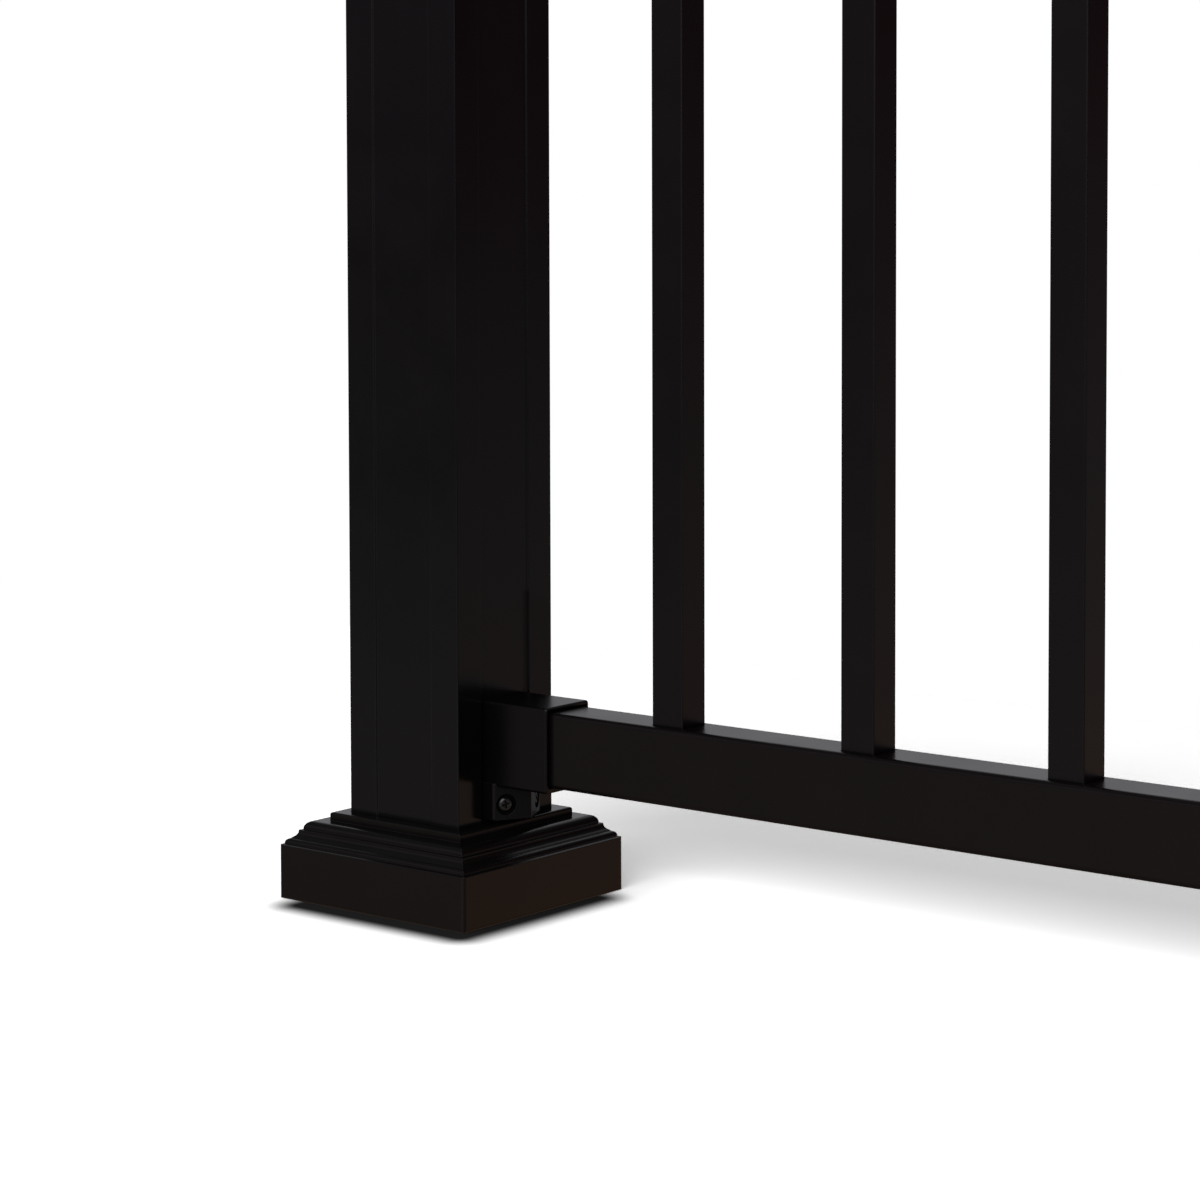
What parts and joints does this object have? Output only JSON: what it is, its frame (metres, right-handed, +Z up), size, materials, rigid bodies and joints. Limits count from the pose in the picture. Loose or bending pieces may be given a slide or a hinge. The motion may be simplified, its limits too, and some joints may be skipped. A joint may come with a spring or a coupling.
{
  "type": "deck railing section",
  "caption": "Straight deck railing bay with square posts on moulded base trims, square balusters between a bottom and a top rail, and socket brackets at the rail ends.",
  "frame": {"origin": "on the deck under the middle of the left post, at the underside of its base plate", "axes": "+X along the rails from the left post to the right post, +Z up, -Y towards the side that the picture shows"},
  "size_m": [2.0352, 0.1302, 0.9637],
  "materials": {
    "post_coat": "satin black powder coat",
    "trim_coat": "satin black powder coat",
    "bracket_coat": "satin black powder coat",
    "rail_coat": "satin black powder coat",
    "baluster_coat": "satin black powder coat",
    "plate_metal": "mill finish"
  },
  "bodies": {
    "root": {"post_left": "post_coat", "base_plate_left": "plate_metal", "base_trim_left": "trim_coat", "post_cap_left": "post_coat", "bracket_bottom_left": "bracket_coat", "bracket_top_left": "bracket_coat", "post_right": "post_coat", "base_plate_right": "plate_metal", "base_trim_right": "trim_coat", "post_cap_right": "post_coat", "bracket_bottom_right": "bracket_coat", "bracket_top_right": "bracket_coat", "bottom_rail": "rail_coat", "top_rail": "rail_coat", "baluster_01": "baluster_coat", "baluster_02": "baluster_coat", "baluster_03": "baluster_coat", "baluster_04": "baluster_coat", "baluster_05": "baluster_coat", "baluster_06": "baluster_coat", "baluster_07": "baluster_coat", "baluster_08": "baluster_coat", "baluster_09": "baluster_coat", "baluster_10": "baluster_coat", "baluster_11": "baluster_coat", "baluster_12": "baluster_coat", "baluster_13": "baluster_coat", "baluster_14": "baluster_coat", "baluster_15": "baluster_coat"}
  },
  "joints": []
}
